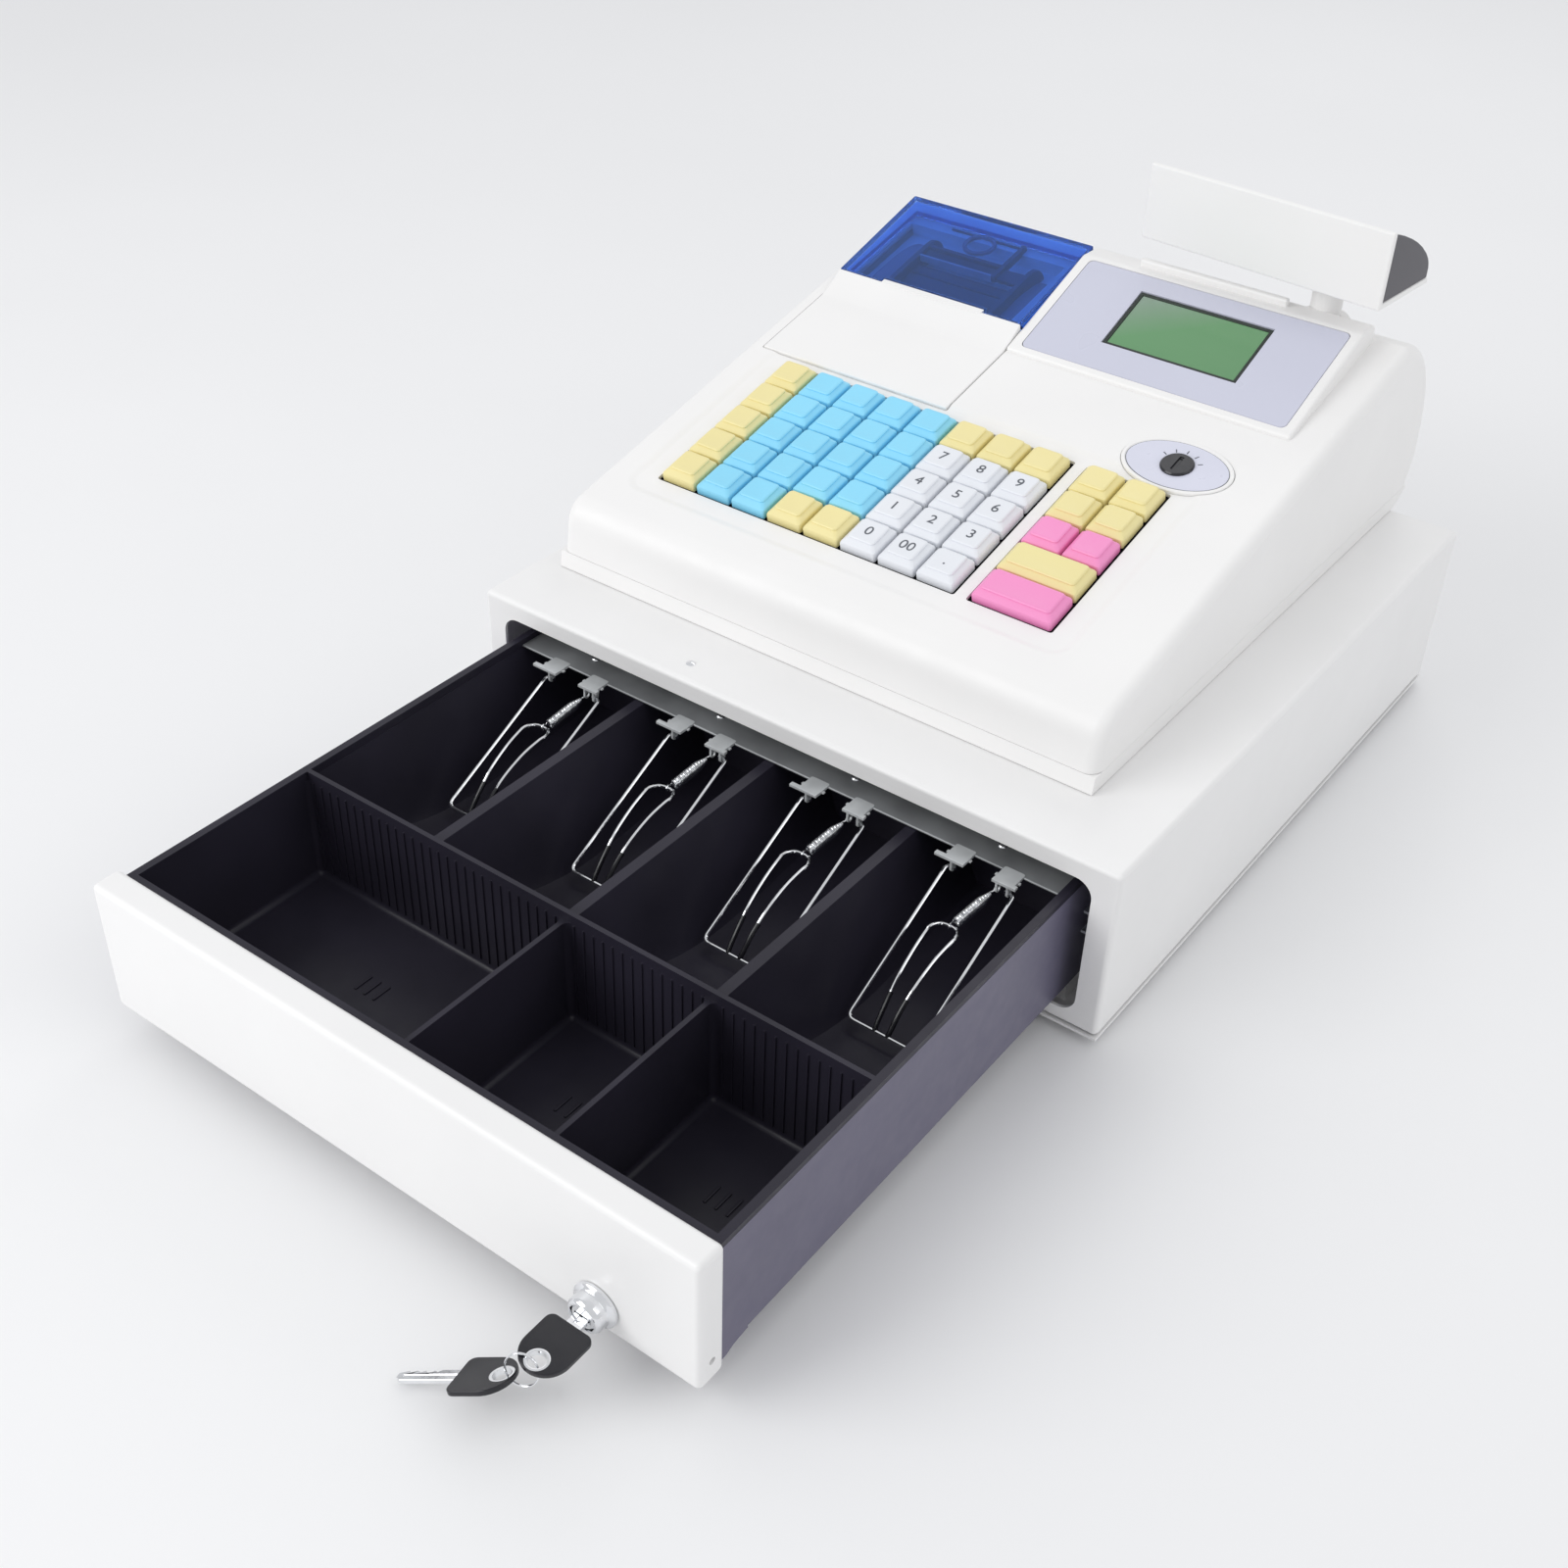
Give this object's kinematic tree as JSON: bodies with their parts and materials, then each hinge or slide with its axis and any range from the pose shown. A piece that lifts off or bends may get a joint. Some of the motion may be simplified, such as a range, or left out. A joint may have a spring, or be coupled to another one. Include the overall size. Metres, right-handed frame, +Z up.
{
  "type": "electronic cash register",
  "caption": "Electronic cash register: sloping keyboard head with display, receipt printer and customer display, standing on a casing with an open cash drawer.",
  "frame": {"origin": "middle of the overall footprint, on the surface that the feet stand on, with the drawer pulled out", "axes": "+Z up, -Y out of the front where the drawer slides out, +Y to the rear, +X to the right as the cashier sees it"},
  "size_m": [0.335, 0.6564, 0.2463],
  "materials": {
    "white_enamel": "satin",
    "white_plastic": "fine matt",
    "grey_steel": "satin",
    "zinc_steel": "zinc plated",
    "tray_black": "semi matt",
    "rubber_black": "matt",
    "black_plastic": "semi matt",
    "chrome": "polished",
    "key_plate_dark": "matt",
    "key_white": "fine matt",
    "key_yellow": "fine matt",
    "key_pink": "fine matt",
    "key_blue": "fine matt",
    "bezel_lilac": "fine matt",
    "lcd_green": "gloss",
    "switch_lilac": "fine matt",
    "paper": "matt paper",
    "cover_blue": "clear tinted",
    "lens_grey": "gloss tinted"
  },
  "bodies": {
    "cabinet": {"casing_shell": "white_enamel", "casing_floor": "white_enamel", "front_feet": "rubber_black", "rear_feet": "rubber_black", "runner_channel_left": "zinc_steel", "runner_channel_right": "zinc_steel", "drawer_latch": "zinc_steel", "head_base": "white_plastic", "head_shell": "white_plastic", "key_plate": "key_plate_dark", "display_bezel": "bezel_lilac", "lcd_module": "lcd_green", "switch_escutcheon": "switch_lilac", "printer_body": "black_plastic", "printer_front_panel": "white_plastic", "power_inlet": "black_plastic", "blue_keys": "key_blue", "yellow_keys_left": "key_yellow", "yellow_keys_top": "key_yellow", "yellow_keys_front": "key_yellow", "yellow_keys_right": "key_yellow"},
    "drawer": {"drawer_pan": "grey_steel", "drawer_front": "white_enamel", "cash_tray": "tray_black", "clip_rail": "zinc_steel", "lock_barrel": "chrome", "key_ring": "chrome", "spare_key": "black_plastic"},
    "lock": {"lock_plug": "chrome", "drawer_key": "black_plastic"},
    "mode_rotor": {"mode_switch": "black_plastic"},
    "cover": {"printer_cover": "cover_blue"},
    "roll": {"paper_roll": "paper"},
    "customer_display": {"display_post": "white_plastic", "customer_display_housing": "white_plastic", "customer_display_lens": "lens_grey"},
    "clip_1": {"clip_frame_1": "chrome", "clip_spring_1": "chrome"},
    "clip_2": {"clip_frame_2": "chrome", "clip_spring_2": "chrome"},
    "clip_3": {"clip_frame_3": "chrome", "clip_spring_3": "chrome"},
    "clip_4": {"clip_frame_4": "chrome", "clip_spring_4": "chrome"},
    "key_7_body": {"key_7": "key_white"},
    "key_8_body": {"key_8": "key_white"},
    "key_9_body": {"key_9": "key_white"},
    "key_4_body": {"key_4": "key_white"},
    "key_5_body": {"key_5": "key_white"},
    "key_6_body": {"key_6": "key_white"},
    "key_1_body": {"key_1": "key_white"},
    "key_2_body": {"key_2": "key_white"},
    "key_3_body": {"key_3": "key_white"},
    "key_0_body": {"key_0": "key_white"},
    "key_00_body": {"key_00": "key_white"},
    "key_point_body": {"key_point": "key_white"},
    "key_clear_body": {"key_clear": "key_pink"},
    "key_change_body": {"key_change": "key_pink"},
    "key_subtotal_body": {"key_subtotal": "key_yellow"},
    "key_total_body": {"key_total": "key_pink"}
  },
  "joints": [
    {"name": "drawer_slide", "type": "slide", "parent": "cabinet", "child": "drawer", "axis": [0, -1, 0], "range_m": [-0.2355, 0]},
    {"name": "lock_turn", "type": "hinge", "parent": "drawer", "child": "lock", "pos_m": [0.1056, -0.27466, 0.0261], "axis": [0, -1, 0], "range_deg": [0, 90]},
    {"name": "mode_switch_turn", "type": "hinge", "parent": "cabinet", "child": "mode_rotor", "pos_m": [0.0782, 0.15652, 0.15857], "axis": [0, -0.225, 0.9744], "range_deg": [-60, 60]},
    {"name": "printer_cover_lift", "type": "hinge", "parent": "cabinet", "child": "cover", "pos_m": [-0.0908, 0.27495, 0.19638], "axis": [-1, 0, 0], "range_deg": [0, 95]},
    {"name": "paper_roll_spin", "type": "hinge", "parent": "cabinet", "child": "roll", "pos_m": [-0.0908, 0.25877, 0.14318], "axis": [1, 0, 0], "continuous": true},
    {"name": "customer_display_swivel", "type": "hinge", "parent": "cabinet", "child": "customer_display", "pos_m": [0.0855, 0.28384, 0.19104], "axis": [0, 0, 1], "range_deg": [-90, 90]},
    {"name": "clip_lift_1", "type": "hinge", "parent": "drawer", "child": "clip_1", "pos_m": [-0.10942, -0.04356, 0.0636], "axis": [-1, 0, 0], "range_deg": [0, 72], "stiffness_Nm_per_rad": 0.02, "springref_deg": -17.19},
    {"name": "clip_lift_2", "type": "hinge", "parent": "drawer", "child": "clip_2", "pos_m": [-0.03648, -0.04356, 0.0636], "axis": [-1, 0, 0], "range_deg": [0, 72], "stiffness_Nm_per_rad": 0.02, "springref_deg": -17.19},
    {"name": "clip_lift_3", "type": "hinge", "parent": "drawer", "child": "clip_3", "pos_m": [0.03648, -0.04356, 0.0636], "axis": [-1, 0, 0], "range_deg": [0, 72], "stiffness_Nm_per_rad": 0.02, "springref_deg": -17.19},
    {"name": "clip_lift_4", "type": "hinge", "parent": "drawer", "child": "clip_4", "pos_m": [0.10942, -0.04356, 0.0636], "axis": [-1, 0, 0], "range_deg": [0, 72], "stiffness_Nm_per_rad": 0.02, "springref_deg": -17.19},
    {"name": "key_7_press", "type": "slide", "parent": "cabinet", "child": "key_7_body", "axis": [0, 0.225, -0.9744], "range_m": [0, 0.003], "stiffness_N_per_m": 300, "springref_m": -0.001},
    {"name": "key_8_press", "type": "slide", "parent": "cabinet", "child": "key_8_body", "axis": [0, 0.225, -0.9744], "range_m": [0, 0.003], "stiffness_N_per_m": 300, "springref_m": -0.001},
    {"name": "key_9_press", "type": "slide", "parent": "cabinet", "child": "key_9_body", "axis": [0, 0.225, -0.9744], "range_m": [0, 0.003], "stiffness_N_per_m": 300, "springref_m": -0.001},
    {"name": "key_4_press", "type": "slide", "parent": "cabinet", "child": "key_4_body", "axis": [0, 0.225, -0.9744], "range_m": [0, 0.003], "stiffness_N_per_m": 300, "springref_m": -0.001},
    {"name": "key_5_press", "type": "slide", "parent": "cabinet", "child": "key_5_body", "axis": [0, 0.225, -0.9744], "range_m": [0, 0.003], "stiffness_N_per_m": 300, "springref_m": -0.001},
    {"name": "key_6_press", "type": "slide", "parent": "cabinet", "child": "key_6_body", "axis": [0, 0.225, -0.9744], "range_m": [0, 0.003], "stiffness_N_per_m": 300, "springref_m": -0.001},
    {"name": "key_1_press", "type": "slide", "parent": "cabinet", "child": "key_1_body", "axis": [0, 0.225, -0.9744], "range_m": [0, 0.003], "stiffness_N_per_m": 300, "springref_m": -0.001},
    {"name": "key_2_press", "type": "slide", "parent": "cabinet", "child": "key_2_body", "axis": [0, 0.225, -0.9744], "range_m": [0, 0.003], "stiffness_N_per_m": 300, "springref_m": -0.001},
    {"name": "key_3_press", "type": "slide", "parent": "cabinet", "child": "key_3_body", "axis": [0, 0.225, -0.9744], "range_m": [0, 0.003], "stiffness_N_per_m": 300, "springref_m": -0.001},
    {"name": "key_0_press", "type": "slide", "parent": "cabinet", "child": "key_0_body", "axis": [0, 0.225, -0.9744], "range_m": [0, 0.003], "stiffness_N_per_m": 300, "springref_m": -0.001},
    {"name": "key_00_press", "type": "slide", "parent": "cabinet", "child": "key_00_body", "axis": [0, 0.225, -0.9744], "range_m": [0, 0.003], "stiffness_N_per_m": 300, "springref_m": -0.001},
    {"name": "key_point_press", "type": "slide", "parent": "cabinet", "child": "key_point_body", "axis": [0, 0.225, -0.9744], "range_m": [0, 0.003], "stiffness_N_per_m": 300, "springref_m": -0.001},
    {"name": "key_clear_press", "type": "slide", "parent": "cabinet", "child": "key_clear_body", "axis": [0, 0.225, -0.9744], "range_m": [0, 0.003], "stiffness_N_per_m": 300, "springref_m": -0.001},
    {"name": "key_change_press", "type": "slide", "parent": "cabinet", "child": "key_change_body", "axis": [0, 0.225, -0.9744], "range_m": [0, 0.003], "stiffness_N_per_m": 300, "springref_m": -0.001},
    {"name": "key_subtotal_press", "type": "slide", "parent": "cabinet", "child": "key_subtotal_body", "axis": [0, 0.225, -0.9744], "range_m": [0, 0.003], "stiffness_N_per_m": 300, "springref_m": -0.001},
    {"name": "key_total_press", "type": "slide", "parent": "cabinet", "child": "key_total_body", "axis": [0, 0.225, -0.9744], "range_m": [0, 0.003], "stiffness_N_per_m": 300, "springref_m": -0.001}
  ]
}
